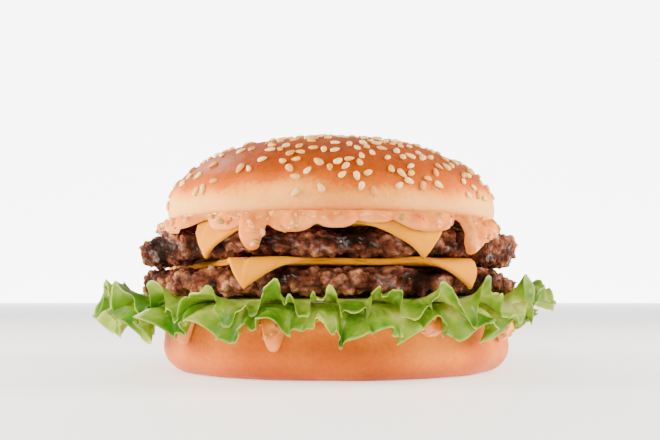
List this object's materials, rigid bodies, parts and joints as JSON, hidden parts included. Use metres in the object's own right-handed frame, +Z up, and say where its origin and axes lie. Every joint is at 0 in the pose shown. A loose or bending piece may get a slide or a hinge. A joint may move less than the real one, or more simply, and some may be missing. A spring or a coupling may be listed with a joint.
{
  "type": "double_cheeseburger",
  "caption": "Double cheeseburger: sesame bun halves around grilled beef patties, melted cheese slices, creamy sauce and frilled lettuce, stacked on a flat heel.",
  "frame": {"origin": "Centre of the heel's flat base, on the surface that the burger stands on.", "axes": "+Z up through the stack, -Y the side in the picture, +X to the right of that side."},
  "size_m": [0.1459, 0.1399, 0.0739],
  "materials": {
    "bun_crust": null,
    "charred_beef": null,
    "melted_cheese": null,
    "burger_sauce": null,
    "lettuce": null
  },
  "bodies": {
    "root": {"bottom_bun": "bun_crust", "lower_sauce": "burger_sauce", "lettuce_lower_leaf": "lettuce", "lettuce_upper_leaf": "lettuce", "lower_patty": "charred_beef", "lower_cheese": "melted_cheese", "upper_patty": "charred_beef", "upper_cheese": "melted_cheese", "upper_sauce": "burger_sauce", "top_bun": "bun_crust"}
  },
  "joints": []
}
